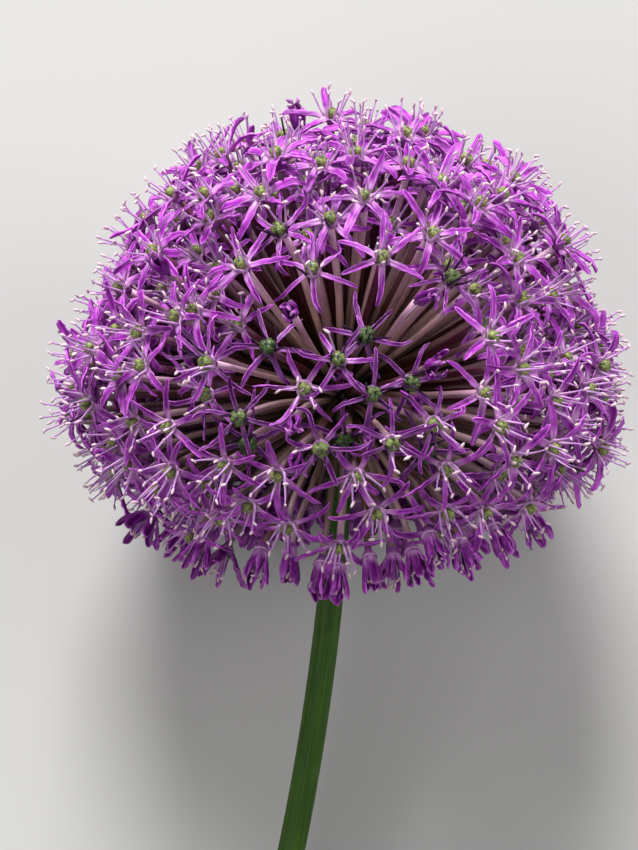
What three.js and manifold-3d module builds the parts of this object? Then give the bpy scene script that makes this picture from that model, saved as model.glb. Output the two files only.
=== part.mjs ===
// A flower head of an ornamental onion, picked with a length of its stem and laid down on a surface.
// The umbel grew as one piece: a small knob, the stalks that spread from it in every direction but
// the stem's, and on each stalk a six-pointed floret with its ovary and stamens. It rests on the
// florets beneath it and on the cut end of the stem, which is the second piece.
// Millimetres, +Z up. The surface is z = 0. The pieces are made with the umbel's centre above x = y = 0,
// and the last lines move the origin to the middle of the footprint.

import * as THREE from 'three';
import { mergeVertices } from 'three/addons/utils/BufferGeometryUtils.js';
import Module from 'manifold-3d';

const wasm = await Module();
wasm.setup();

// Driving dimensions
const umbelCentre = new THREE.Vector3(0, 0, 48);      // where the lines of all stalks meet
const footprintMiddle = new THREE.Vector2(0.1, -41.8);
const stalkReach = 48;              // from there to the base of a floret at the head's equator
const stalkReachGain = 2;           // how much longer the stalks at the top are
const stalkReachSpread = 2.6;       // how far a floret may sit in or out of that, either way
const floretCount = 144;
const lowestFloretAngle = 139;      // degrees from the top of the head, to leave the stem clear
const bellAngle = 124;              // from here on down the florets are half-closed bells
const contactAngle = 24;            // degrees from straight down within which florets press on the surface
const floorClearance = 0.15;        // the least height of everything that doesn't press on it

const knobRadius = 6.5;
const knobUnderside = 5;            // from the umbel's centre to the flat under the knob
const seamGap = 0.3;                // between that flat and the top of the stem

const stemLength = 148;             // from the umbel's centre to the cut
const stemTopRadius = 2.5;
const stemCutRadius = 2.9;
const stemCurve = 0.001;            // sideways bend, in mm for each square mm of length
const stemSides = 14;
const stemSteps = 18;

// One floret, along its own axis from the height where its six tepals part
const hubRadius = 1.35;
const hubDepth = 1.0;               // down to where the stalk begins
const hubUnderRadius = 1.0;
const ovaryRadius = 1.4;
const ovaryHeight = 2.4;
const stalkRootRadius = 0.62;
const stalkSink = 1.9;              // how far a stalk is rooted in the knob
const tepalLength = 8.4;            // larger than life, as fewer florets cover the head
const tepalWidth = 2.5;
const tepalMiddle = 0.46;           // the widest place, as a share of the length
const stamenReach = 6.6;            // height of a stamen's tip
const stamenSpread = 3.4;           // its distance from the floret's axis
const openRise = [-6, 24];          // least and most that a tepal of an open star rises, in degrees
const openBend = [14, 30];          // and how far its outer half bends back down
const bellRise = [36, 52];
const bellBend = [12, 20];
const pressedRise = [-4, 4];        // the same for the florets that the head lies on
const pressedBend = [14, 14];

const umbelColour = 0x9a45b0;
const stemColour = 0x3f5f1c;

const degrees = Math.PI / 180;
const up = new THREE.Vector3(0, 0, 1);

// The stem slopes down from the umbel's centre until the rim of its cut touches the surface.
const stemTilt = Math.asin(umbelCentre.z / Math.hypot(stemLength, stemCutRadius))
  - Math.atan(stemCutRadius / stemLength);
const headAxis = new THREE.Vector3(0, Math.cos(stemTilt), Math.sin(stemTilt));
const headSide = new THREE.Vector3(1, 0, 0);
const headFront = new THREE.Vector3().crossVectors(headSide, headAxis);

function seededRandom(seed) {
  let state = seed;
  return () => {
    state = (state + 0x6d2b79f5) | 0;
    let mixed = Math.imul(state ^ (state >>> 15), 1 | state);
    mixed = (mixed + Math.imul(mixed ^ (mixed >>> 7), 61 | mixed)) ^ mixed;
    return ((mixed ^ (mixed >>> 14)) >>> 0) / 4294967296;
  };
}

function blend(low, high, share) {
  return low + (high - low) * share;
}

function drawn([low, high], random) {
  return blend(low, high, random());
}

// The directions of the stalks: a golden-angle spiral from the top of the head down, a little uneven.
function stalkDirections(random) {
  const goldenAngle = Math.PI * (3 - Math.sqrt(5));
  const lowestCosine = Math.cos(lowestFloretAngle * degrees);
  const unevenness = 0.045;
  return Array.from({ length: floretCount }, (_, i) => {
    const cosine = blend(1, lowestCosine, (i + 0.5) / floretCount);
    const polar = Math.acos(cosine) + unevenness * (random() - 0.5);
    const turn = i * goldenAngle + unevenness * (random() - 0.5) / Math.sin(polar);
    return new THREE.Vector3()
      .addScaledVector(headAxis, Math.cos(polar))
      .addScaledVector(headSide, Math.sin(polar) * Math.cos(turn))
      .addScaledVector(headFront, Math.sin(polar) * Math.sin(turn));
  });
}

// How each of a floret's tepals rises from its hub and bends: open stars, and half-closed bells low down.
function tepalPoses(direction, presses, random) {
  const bell = direction.angleTo(headAxis) > bellAngle * degrees;
  const openOrBell = bell ? [bellRise, bellBend] : [openRise, openBend];
  const [rises, bends] = presses ? [pressedRise, pressedBend] : openOrBell;
  return Array.from({ length: 6 }, () => ({ rise: drawn(rises, random), bend: drawn(bends, random) }));
}

// The points of one floret and its stalk: hub ring 0-5, hub underside 6-8, ovary top 9-11, each tepal's
// left, right and tip 12-29, stamen tips 30-32, and the stalk's root in the knob 33-35. A floret that
// the head lies on hangs straight down, and its stamens lie along the surface.
function floretPoints(floret, reach, spin) {
  const axis = floret.presses ? up.clone().negate() : floret.direction;
  const base = umbelCentre.clone().addScaledVector(floret.direction, reach);
  const notAlongAxis = axis.x ** 2 < axis.z ** 2 ? headSide : up;
  const across = new THREE.Vector3().crossVectors(axis, notAlongAxis).normalize();
  const beside = new THREE.Vector3().crossVectors(axis, across);
  // A point at an angle round the axis, so far out from it and up along it, or moved sideways.
  const place = (angle, radius, height, sideways = 0) => {
    const cosine = Math.cos(spin + angle * degrees);
    const sine = Math.sin(spin + angle * degrees);
    const point = base.clone()
      .addScaledVector(across, radius * cosine - sideways * sine)
      .addScaledVector(beside, radius * sine + sideways * cosine)
      .addScaledVector(axis, height);
    point.z = Math.max(point.z, floret.presses ? 0 : floorClearance);
    return point;
  };

  const points = [];
  for (let i = 0; i < 6; i++) points.push(place(60 * i - 30, hubRadius, 0));
  for (let j = 0; j < 3; j++) points.push(place(120 * j + 30, hubUnderRadius, -hubDepth));
  for (let j = 0; j < 3; j++) points.push(place(120 * j + 30, ovaryRadius, ovaryHeight));
  floret.tepals.forEach(({ rise, bend }, i) => {
    const inner = tepalLength * tepalMiddle;
    const outer = tepalLength - inner;
    const middleRadius = hubRadius * Math.cos(Math.PI / 6) + inner * Math.cos(rise * degrees);
    const middleHeight = inner * Math.sin(rise * degrees);
    const tipRadius = middleRadius + outer * Math.cos((rise - bend) * degrees);
    const tipHeight = middleHeight + outer * Math.sin((rise - bend) * degrees);
    points.push(place(60 * i, middleRadius, middleHeight, -tepalWidth / 2));
    points.push(place(60 * i, middleRadius, middleHeight, tepalWidth / 2));
    points.push(place(60 * i, tipRadius, tipHeight));
  });
  const stamenHeight = floret.presses ? ovaryHeight - 2 * floorClearance : stamenReach;
  const stamenRadius = floret.presses ? stamenReach : stamenSpread;
  for (let j = 0; j < 3; j++) points.push(place(120 * j, stamenRadius, stamenHeight));
  const root = umbelCentre.clone().addScaledVector(floret.direction, knobRadius - stalkSink);
  for (let j = 0; j < 3; j++) {
    const outward = points[6 + j].clone().sub(base).addScaledVector(axis, hubDepth).normalize();
    points.push(root.clone().addScaledVector(outward, stalkRootRadius));
  }
  return points;
}

// The triangles that join those points into one closed body. A tepal has three on its upper face and
// four on its keeled underside.
function floretFaces() {
  const faces = [[9, 10, 11], [33, 35, 34]];
  const tepal = (a, b, under, i) => {
    const [left, right, tip] = [12 + 3 * i, 13 + 3 * i, 14 + 3 * i];
    faces.push([a, left, right], [a, right, b], [left, tip, right]);
    faces.push([a, under, left], [left, under, tip], [tip, under, right], [right, under, b]);
  };
  for (let j = 0; j < 3; j++) {
    const next = (j + 1) % 3;
    const [a, b, c] = [2 * j, 2 * j + 1, (2 * j + 2) % 6];
    const [under, top, stamen, root] = [6 + j, 9 + j, 30 + j, 33 + j];
    tepal(a, b, under, 2 * j);
    tepal(b, c, under, 2 * j + 1);
    faces.push([c, under, 6 + next]);
    faces.push([a, b, stamen], [b, top, stamen], [top, a, stamen]);
    faces.push([b, c, top], [c, 9 + next, top]);
    faces.push([6 + next, under, root], [6 + next, root, 33 + next]);
  }
  return faces;
}

// A floret's limbs as [from, to, half thickness], to keep neighbours clear of each other.
function limbsOf(points) {
  const middle = (a, b) => points[a].clone().add(points[b]).multiplyScalar(0.5);
  const hub = middle(0, 3);
  const [stalkHalf, innerHalf, outerHalf, stamenHalf] = [0.8, 1.0, 0.75, 0.5];
  const limbs = [[hub, middle(9, 10), ovaryRadius], [points[33], hub, stalkHalf]];
  for (let i = 0; i < 6; i++) {
    const bend = middle(12 + 3 * i, 13 + 3 * i);
    limbs.push([hub, bend, innerHalf], [bend, points[14 + 3 * i], outerHalf]);
  }
  for (let j = 0; j < 3; j++) limbs.push([middle(2 * j, 2 * j + 1), points[30 + j], stamenHalf]);
  return limbs;
}

// The least distance between the lines from p1 to q1 and from p2 to q2.
function segmentDistance(p1, q1, p2, q2) {
  const d1 = q1.clone().sub(p1);
  const d2 = q2.clone().sub(p2);
  const r = p1.clone().sub(p2);
  const a = d1.dot(d1);
  const b = d1.dot(d2);
  const c = d1.dot(r);
  const e = d2.dot(d2);
  const f = d2.dot(r);
  const denominator = a * e - b * b;
  let s = denominator > 1e-9 ? THREE.MathUtils.clamp((b * f - c * e) / denominator, 0, 1) : 0;
  const t = THREE.MathUtils.clamp((b * s + f) / e, 0, 1);
  s = THREE.MathUtils.clamp((b * t - c) / a, 0, 1);
  return p1.clone().addScaledVector(d1, s).distanceTo(p2.clone().addScaledVector(d2, t));
}

// The least room between a floret's limbs and those of florets already placed.
function roomAround(limbs, others) {
  let room = Infinity;
  for (const other of others) {
    for (const [from, to, thickness] of limbs) {
      for (const [otherFrom, otherTo, otherThickness] of other) {
        room = Math.min(room, segmentDistance(from, to, otherFrom, otherTo) - thickness - otherThickness);
      }
    }
  }
  return room;
}

// Places the florets one by one, each turned and set in or out on its stalk to where it has room.
function placeFlorets() {
  const random = seededRandom(11);
  const neighbourhood = 26;
  const enoughRoom = 0.3;
  const spinStep = 6;
  const placed = [];
  for (const direction of stalkDirections(random)) {
    const presses = direction.angleTo(up) > (180 - contactAngle) * degrees;
    const floret = { direction, presses, tepals: tepalPoses(direction, presses, random) };
    const reachToSurface = (umbelCentre.z - ovaryHeight) / -direction.z;
    const usualReach = stalkReach + stalkReachGain * direction.dot(headAxis);
    const reaches = presses ? [reachToSurface]
      : [0, -1, 1, -0.5, 0.5].map((share) => usualReach + share * stalkReachSpread);
    const firstSpin = random() * 60;
    let best = { room: -Infinity };
    for (const reach of reaches) {
      const base = umbelCentre.clone().addScaledVector(direction, reach);
      const near = placed.filter((other) => other.base.distanceTo(base) < neighbourhood);
      for (let spin = 0; spin < 60; spin += spinStep) {
        const points = floretPoints(floret, reach, (firstSpin + spin) * degrees);
        const limbs = limbsOf(points);
        const room = roomAround(limbs, near.map((other) => other.limbs));
        if (room > best.room) best = { room, points, limbs, base };
      }
      if (best.room > enoughRoom) break;
    }
    placed.push(best);
  }
  return placed;
}

function solidFrom(points, faces) {
  const mesh = new wasm.Mesh({
    numProp: 3,
    vertProperties: new Float32Array(points.flatMap((point) => point.toArray())),
    triVerts: new Uint32Array(faces.flat()),
  });
  return new wasm.Manifold(mesh);
}

function solidFromGeometry(geometry) {
  geometry.deleteAttribute('normal');
  geometry.deleteAttribute('uv');
  const merged = mergeVertices(geometry, 1e-4);
  const vertProperties = merged.attributes.position.array;
  const triVerts = new Uint32Array(merged.index.array);
  return new wasm.Manifold(new wasm.Mesh({ numProp: 3, vertProperties, triVerts }));
}

function geometryFrom(solid) {
  const mesh = solid.getMesh();
  const geometry = new THREE.BufferGeometry();
  geometry.setAttribute('position', new THREE.BufferAttribute(new Float32Array(mesh.vertProperties), 3));
  geometry.setIndex(new THREE.BufferAttribute(new Uint32Array(mesh.triVerts), 1));
  const flat = geometry.toNonIndexed();
  flat.computeVertexNormals();
  return flat;
}

// The knob that the stalks grow from: a ball with a flat where the stem begins.
function knobSolid() {
  const ball = new THREE.IcosahedronGeometry(knobRadius, 1);
  const below = new THREE.BoxGeometry(4 * knobRadius, 4 * knobRadius, 2 * knobRadius);
  below.translate(0, 0, -knobUnderside - knobRadius);
  const turn = new THREE.Quaternion().setFromUnitVectors(up, headAxis);
  const place = new THREE.Matrix4().compose(umbelCentre, turn, new THREE.Vector3(1, 1, 1));
  return solidFromGeometry(ball.applyMatrix4(place)).subtract(solidFromGeometry(below.applyMatrix4(place)));
}

function umbelMesh() {
  const faces = floretFaces();
  const pieces = placeFlorets().map(({ points }) => solidFrom(points, faces));
  const umbel = wasm.Manifold.union([knobSolid(), ...pieces]);
  const mesh = new THREE.Mesh(
    geometryFrom(umbel),
    new THREE.MeshStandardMaterial({ color: umbelColour, roughness: 0.6, metalness: 0 }),
  );
  mesh.name = 'umbel';
  return mesh;
}

// The stem: a round rod, turned on a lathe with its widest place at the cut, then bent to one side.
function stemMesh() {
  const topDepth = knobUnderside + seamGap;
  const profile = [new THREE.Vector2(0, -stemLength)];
  for (let step = 0; step <= stemSteps; step++) {
    const share = step / stemSteps;
    const radius = blend(stemCutRadius, stemTopRadius, share);
    profile.push(new THREE.Vector2(radius, blend(-stemLength, -topDepth, share)));
  }
  profile.push(new THREE.Vector2(0, -topDepth));
  const rod = new THREE.LatheGeometry(profile, stemSides);
  const position = rod.attributes.position;
  for (let i = 0; i < position.count; i++) {
    const bend = stemCurve * (position.getY(i) + topDepth) ** 2;
    position.setX(i, position.getX(i) - bend);
  }
  const mesh = new THREE.Mesh(
    rod,
    new THREE.MeshStandardMaterial({ color: stemColour, roughness: 0.55, metalness: 0 }),
  );
  mesh.name = 'stem';
  mesh.setRotationFromMatrix(new THREE.Matrix4().makeBasis(headSide, headAxis, headFront));
  mesh.position.copy(umbelCentre);
  return mesh;
}

const flowerHead = new THREE.Group();
flowerHead.add(umbelMesh(), stemMesh());
flowerHead.position.set(-footprintMiddle.x, -footprintMiddle.y, 0);

export default flowerHead;
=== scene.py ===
import math

import bpy
import numpy as np
from mathutils import Matrix


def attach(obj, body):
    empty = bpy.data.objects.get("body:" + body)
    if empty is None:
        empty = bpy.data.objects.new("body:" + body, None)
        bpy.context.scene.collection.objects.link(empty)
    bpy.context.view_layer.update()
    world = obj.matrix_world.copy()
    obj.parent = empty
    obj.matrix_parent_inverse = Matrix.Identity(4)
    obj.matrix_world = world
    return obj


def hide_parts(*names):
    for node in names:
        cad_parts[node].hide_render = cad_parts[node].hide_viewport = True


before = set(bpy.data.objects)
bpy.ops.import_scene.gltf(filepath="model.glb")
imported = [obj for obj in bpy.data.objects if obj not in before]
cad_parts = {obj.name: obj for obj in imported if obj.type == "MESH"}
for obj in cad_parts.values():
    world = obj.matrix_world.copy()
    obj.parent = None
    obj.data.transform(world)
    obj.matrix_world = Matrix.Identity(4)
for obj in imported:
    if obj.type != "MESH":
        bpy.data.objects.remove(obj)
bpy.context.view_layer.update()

mm = 0.001
scene = bpy.context.scene

# The head as the CAD has it, in mm. It lies on the surface z = 0 with its cut stem towards -Y.
head = {
    "centre": (-0.1, 41.8, 48.0),    # where the lines of all stalks meet
    "stemLength": 148.0,             # from there to the cut
    "stemCutRadius": 2.9,
    "stemCurve": 0.001,              # sideways bend, in mm for each square mm of length
    "stemTop": 5.3,                  # from the centre down to the top of the stem
    "floretReach": 49.5,             # from the centre to the base of a floret
    "topGain": 3.8,                  # how much longer the stalks at the top are
    "lowLoss": 12.5,                 # and how much shorter those below
    "lowLossFrom": (98.0, 135.0),    # degrees from the top between which they get so short
    # places where it is flatter or, if less than 0, fuller: mm, degrees right of the top, how wide
    "dents": [(3.6, 20.0, 13.0), (0.8, 0.0, 9.0), (-2.5, 43.0, 9.0), (-4.8, -107.0, 13.0),
              (1.2, -60.0, 9.0), (3.6, 115.0, 15.0), (2.0, -135.0, 14.0)],
    "farLoss": 2.5,                  # how much shorter those on the side away from the camera
    "farLossFrom": (0.1, -0.15),     # as parts of the direction that point to the camera
    "flatBottom": 31.5,              # no floret has its base lower than this
    "ovaryRoom": 3.6,                # between the surface and the florets that the head lies on
    "bentFrom": 0.5,                 # the part of a stalk's direction that points down, if it is bent short
    "reachSpread": 2.4,              # how much longer or shorter a stalk may be to find room
    "deepest": 7.0,                  # how far below the others some florets stand
    "lowestFloret": 140.0,           # degrees from the top
    "bellAngle": 124.0,              # from here on down the florets are half-closed bells
}

# The photograph is 638 x 850, and the camera stands half a metre off, a little above the head's equator.
photo = {
    "size": (638, 850),
    "centrePixel": (343, 395),       # the place of the head's centre
    "pixelsPerMm": 5.12,             # at that depth
    "distance": 500.0,
    "aboveEquator": 3.0,
    "roll": 1.9,
    "sensor": 36.0,
}


def unit(v):
    return v / np.linalg.norm(v)


def blend(low, high, share):
    return low + (high - low) * share


def smooth(low, high, x):
    share = np.clip((x - low) / (high - low), 0.0, 1.0)
    return share * share * (3.0 - 2.0 * share)


stemTilt = (math.asin(head["centre"][2] / math.hypot(head["stemLength"], head["stemCutRadius"]))
            - math.atan(head["stemCutRadius"] / head["stemLength"]))
headCentre = np.array(head["centre"])
headAxis = np.array([0.0, math.cos(stemTilt), math.sin(stemTilt)])
headSide = np.array([1.0, 0.0, 0.0])
headFront = np.cross(headSide, headAxis)
down = np.array([0.0, 0.0, -1.0])

cameraLift = math.radians(photo["aboveEquator"])
toCamera = math.cos(cameraLift) * headFront + math.sin(cameraLift) * headAxis
cameraRoll = math.radians(photo["roll"])
imageRight = math.cos(cameraRoll) * headSide + math.sin(cameraRoll) * np.cross(toCamera, headSide)
imageUp = np.cross(toCamera, imageRight)


def onImage(x, y):    # the place of a pixel in the plane through the head's centre, from that centre
    right = (x - photo["centrePixel"][0]) / photo["pixelsPerMm"]
    up = (photo["centrePixel"][1] - y) / photo["pixelsPerMm"]
    return imageRight * right + imageUp * up


imageMiddle = onImage(photo["size"][0] / 2, photo["size"][1] / 2)
cameraPlace = headCentre + imageMiddle + toCamera * photo["distance"]


# The direction from the head's centre to what shows at a pixel, at that reach. With side 1 it is on
# the far side.
def seenDirection(x, y, reach, side=-1):
    target = headCentre + onImage(x, y)
    ray = unit(target - cameraPlace)
    toHead = headCentre - cameraPlace
    along = ray @ toHead
    missed = toHead @ toHead - along ** 2
    hit = cameraPlace + ray * (along + side * math.sqrt(max(reach ** 2 - missed, 0.0)))
    return unit(hit - headCentre)


def placing(x, y, z, place):    # the matrix of an object with these axes, at that place
    return Matrix([[*x, 0.0], [*y, 0.0], [*z, 0.0], [*place, 1.0]]).transposed()


def makeCamera():
    data = bpy.data.cameras.new("camera")
    camera = bpy.data.objects.new("camera", data)
    scene.collection.objects.link(camera)
    data.sensor_width = photo["sensor"]
    data.lens = photo["sensor"] * photo["distance"] * photo["pixelsPerMm"] / photo["size"][1]
    data.clip_start = 0.01
    data.clip_end = 20.0
    camera.matrix_world = placing(imageRight, imageUp, toCamera, cameraPlace * mm)
    scene.camera = camera


makeCamera()
print("camera placed")


# Materials. The sizes in their dictionaries are mm.

# What each point of a mesh tells its material: how far along and across its part it is, a tone of its
# own, and the age of its floret. A stalk has no age, and tells how low in the head it is there instead,
# which its material uses for painted shade.
attributeNames = ("along", "across", "tone", "age")


def toLinear(hexColour):
    channels = [int(hexColour[i:i + 2], 16) / 255 for i in (1, 3, 5)]
    return tuple(c / 12.92 if c <= 0.04045 else ((c + 0.055) / 1.055) ** 2.4 for c in channels) + (1.0,)


# Adds a node, sets and links it, and gives one of its outputs. A name in the settings is one of the
# node's own settings or an input, a number is an input's place, and a value may be an output to link.
# A Map Range node takes its value at 0, the range of that at 1 and 2, and the range it becomes at 3 and
# 4. A Mix node takes its share at 0 and its two colours at 6 and 7.
def addNode(tree, kind, settings, output=0):
    node = tree.nodes.new(kind)
    for name, value in settings.items():
        if isinstance(name, str) and hasattr(node, name):
            setattr(node, name, value)
        elif isinstance(value, bpy.types.NodeSocket):
            tree.links.new(value, node.inputs[name])
        elif isinstance(value, str):
            node.inputs[name].default_value = toLinear(value)
        else:
            node.inputs[name].default_value = value
    return node.outputs[output]


# A new material with that finish, and outputs for what the points tell it.
def newMaterial(name, finish, told=()):
    material = bpy.data.materials.new(name)
    material.use_nodes = True
    tree = material.node_tree
    shader = tree.nodes["Principled BSDF"].inputs
    for quality, value in finish.items():
        shader[quality].default_value = value
    values = [addNode(tree, "ShaderNodeAttribute", {"attribute_name": each}, "Fac") for each in told]
    return material, tree, shader, values


# Streaks that run along a part: how many there are across it lies between two counts, by its tone. The
# tone also sets them apart from the streaks of the next part. The length says how many are end to end.
def streaksAlong(tree, along, across, tone, counts, length, apart, detail):
    count = addNode(tree, "ShaderNodeMapRange", {0: tone, 3: counts[0], 4: counts[1]})
    sideways = addNode(tree, "ShaderNodeMapRange", {0: across, 4: count})
    lengthways = addNode(tree, "ShaderNodeMapRange", {0: along, 4: length})
    away = addNode(tree, "ShaderNodeMapRange", {0: tone, 4: apart})
    place = addNode(tree, "ShaderNodeCombineXYZ", {"X": sideways, "Y": lengthways, "Z": away})
    return addNode(tree, "ShaderNodeTexNoise", {"Vector": place, "Scale": 1.0, "Detail": detail})


# Lays colours over each other by their shares, the base first, and gives them to the shader, with the
# relief of a height if there is one, so many mm deep.
def finishMaterial(tree, shader, colours, base, layers, height=None, depth=0.0):
    colour = colours[base]
    for share, name in layers:
        colour = addNode(tree, "ShaderNodeMix",
                         {"data_type": "RGBA", 0: share, 6: colour, 7: colours[name]}, 2)
    tree.links.new(colour, shader["Base Color"])
    if height is not None:
        bump = addNode(tree, "ShaderNodeBump", {"Height": height, "Distance": depth * mm})
        tree.links.new(bump, shader["Normal"])


# Fresh petal tissue: a thin skin of domed cells over sap. It gives a soft satin sheen, colour that
# deepens along the middle and thins out to pale edges, and a white-pink foot. The pale edges are partly
# the tepal's own pale margin and partly painted highlight, and the tip carries a painted highlight.
def petalTissue():
    # edge is the pale margin colour, which also paints the highlights on the edges and the tip
    petal = {
        "middle": "#43004c", "body": "#90069e", "edge": "#ea8af2", "foot": "#eac0e6",
        "pale": "#c440d4", "old": "#500060", "wilted": "#8c1e9c", "wiltedTip": "#e29ae0", "mottle": 1.6,
        "relief": 0.16,
    }
    material, tree, shader, (along, across, tone, age) = newMaterial("petalTissue", {
        "Roughness": 0.44, "IOR": 1.39, "Subsurface Weight": 0.15, "Subsurface Radius": (1.0, 0.4, 0.9),
        "Subsurface Scale": 0.5 * mm,
    }, attributeNames)
    paleness = addNode(tree, "ShaderNodeMapRange", {0: tone, 1: 0.2, 2: 0.95, 4: 0.85})
    ageing = addNode(tree, "ShaderNodeMapRange", {0: age, 1: 0.25, 2: 0.85, 4: 0.85})

    # the dark stripe along the middle, stronger in old florets and gone at the foot
    stripeMost = addNode(tree, "ShaderNodeMapRange", {0: age, 1: 0.0, 2: 0.8, 3: 0.6, 4: 1.0})
    stripeHere = addNode(tree, "ShaderNodeMapRange", {0: along, 1: 0.12, 2: 0.4, 4: stripeMost})
    stripe = addNode(tree, "ShaderNodeMapRange", {0: across, 1: 0.38, 2: 0.02, 4: stripeHere})

    # the thin pale edges, partly pale margin and partly painted highlight that a mottle breaks here and
    # there, and a painted highlight on the tip
    place = addNode(tree, "ShaderNodeTexCoord", {}, "Object")
    mottle = addNode(tree, "ShaderNodeTexNoise",
                     {"Vector": place, "Scale": 1 / (petal["mottle"] * mm), "Detail": 3.0})
    paleEdgeAndHighlight = addNode(tree, "ShaderNodeMapRange", {0: mottle, 1: 0.36, 2: 0.56, 3: 0.4, 4: 1.0})
    edge = addNode(tree, "ShaderNodeMapRange", {0: across, 1: 0.68, 2: 1.0, 4: paleEdgeAndHighlight})
    tip = addNode(tree, "ShaderNodeMapRange", {0: along, 1: 0.92, 2: 1.0, 4: 0.45})
    tint = addNode(tree, "ShaderNodeMapRange", {0: mottle, 1: 0.65, 2: 0.3, 4: 0.35})

    # wilted tepals are past age 1
    wilting = addNode(tree, "ShaderNodeMapRange", {0: age, 1: 1.1, 2: 1.3, 4: 0.7})
    wiltedTip = addNode(tree, "ShaderNodeMapRange", {0: along, 1: 0.72, 2: 1.0, 4: wilting})

    # the foot, pale in fresh florets
    footMost = addNode(tree, "ShaderNodeMapRange", {0: age, 1: 0.2, 2: 0.95, 3: 1.0, 4: 0.1})
    foot = addNode(tree, "ShaderNodeMapRange", {0: along, 1: 0.36, 2: 0.0, 4: footMost})

    # Rows of cells run along the tepal and darken it in streaks. Real ones are a thirtieth of a
    # millimetre apart, so they are drawn as coarse as they need to show.
    rows = streaksAlong(tree, along, across, tone, (2.6, 3.6), 1.8, 40.0, 2.0)
    streak = addNode(tree, "ShaderNodeMapRange", {0: rows, 1: 0.5, 2: 0.66, 4: 0.55})
    thinMost = addNode(tree, "ShaderNodeMapRange", {0: age, 1: 0.2, 2: 0.9, 3: 0.5, 4: 0.2})
    thin = addNode(tree, "ShaderNodeMapRange", {0: rows, 1: 0.48, 2: 0.34, 4: thinMost})

    # the edge colour laid over the edges and the tip is partly painted highlight
    layers = [
        (paleness, "pale"), (ageing, "old"), (stripe, "middle"), (edge, "edge"), (tip, "edge"),
        (wilting, "wilted"), (wiltedTip, "wiltedTip"), (foot, "foot"), (streak, "middle"),
        (thin, "edge"), (tint, "middle"),
    ]
    finishMaterial(tree, shader, petal, "body", layers, rows, petal["relief"])
    return material


# Stamen stalks: tissue drawn out to a thread. It looks pale lilac and moist when fresh, and dries to a
# dark purple hair.
def filamentTissue():
    filament = {"foot": "#dcb6dc", "body": "#a86cbc", "dry": "#2a0a34"}
    material, tree, shader, (along, age) = newMaterial("filamentTissue", {
        "Roughness": 0.4, "IOR": 1.4, "Subsurface Weight": 0.25, "Subsurface Scale": 0.3 * mm,
    }, ("along", "age"))
    finishMaterial(tree, shader, filament, "foot", [(along, "body"), (age, "dry")])
    return material


# Ripe anthers: two split sacs dusted with pollen. The dust makes them matt, pale and a little grey.
# Real grains are a thirtieth of a millimetre, too fine to show, so clumps of them are drawn.
def pollenSacs():
    anther = {"dust": "#e8d2d8", "skin": "#b0849c", "clump": 0.16, "relief": 0.04}
    material, tree, shader = newMaterial("pollenSacs", {"Roughness": 0.85, "IOR": 1.45})[:3]
    place = addNode(tree, "ShaderNodeTexCoord", {}, "Object")
    clumps = addNode(tree, "ShaderNodeTexVoronoi", {"Vector": place, "Scale": 1 / (anther["clump"] * mm)})
    between = addNode(tree, "ShaderNodeMapRange", {0: clumps, 1: 0.2, 2: 0.9})
    finishMaterial(tree, shader, anther, "dust", [(between, "skin")], clumps, anther["relief"])
    return material


# Ovary skin: waxy green and pimpled all over. The wax gives each pimple its own small highlight.
# Painted shade darkens its furrows, the hollows between the pimples and the eye on its top.
def ovarySkin():
    ovary = {"young": "#a9b266", "old": "#47602e", "furrow": "#22340f", "pimple": 0.34, "relief": 0.12}
    material, tree, shader, (age, furrow) = newMaterial("ovarySkin", {
        "Roughness": 0.34, "IOR": 1.45, "Subsurface Weight": 0.15, "Subsurface Scale": 0.4 * mm,
    }, ("age", "across"))
    place = addNode(tree, "ShaderNodeTexCoord", {}, "Object")
    pimples = addNode(tree, "ShaderNodeTexVoronoi", {
        "feature": "SMOOTH_F1", "Vector": place, "Scale": 1 / (ovary["pimple"] * mm), "Smoothness": 0.6})
    raised = addNode(tree, "ShaderNodeMapRange", {0: pimples, 1: 0.55, 2: 0.0})
    ageing = addNode(tree, "ShaderNodeMapRange", {0: age, 1: 0.3, 2: 1.0})
    # painted shade in the furrows and the eye
    deep = addNode(tree, "ShaderNodeMapRange", {0: furrow, 4: 0.8})
    # painted shade in the hollows between the pimples
    between = addNode(tree, "ShaderNodeMapRange", {0: raised, 1: 0.0, 2: 0.6, 3: 0.55, 4: 0.0})
    layers = [(ageing, "old"), (deep, "furrow"), (between, "furrow")]
    finishMaterial(tree, shader, ovary, "young", layers, raised, ovary["relief"])
    return material


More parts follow.
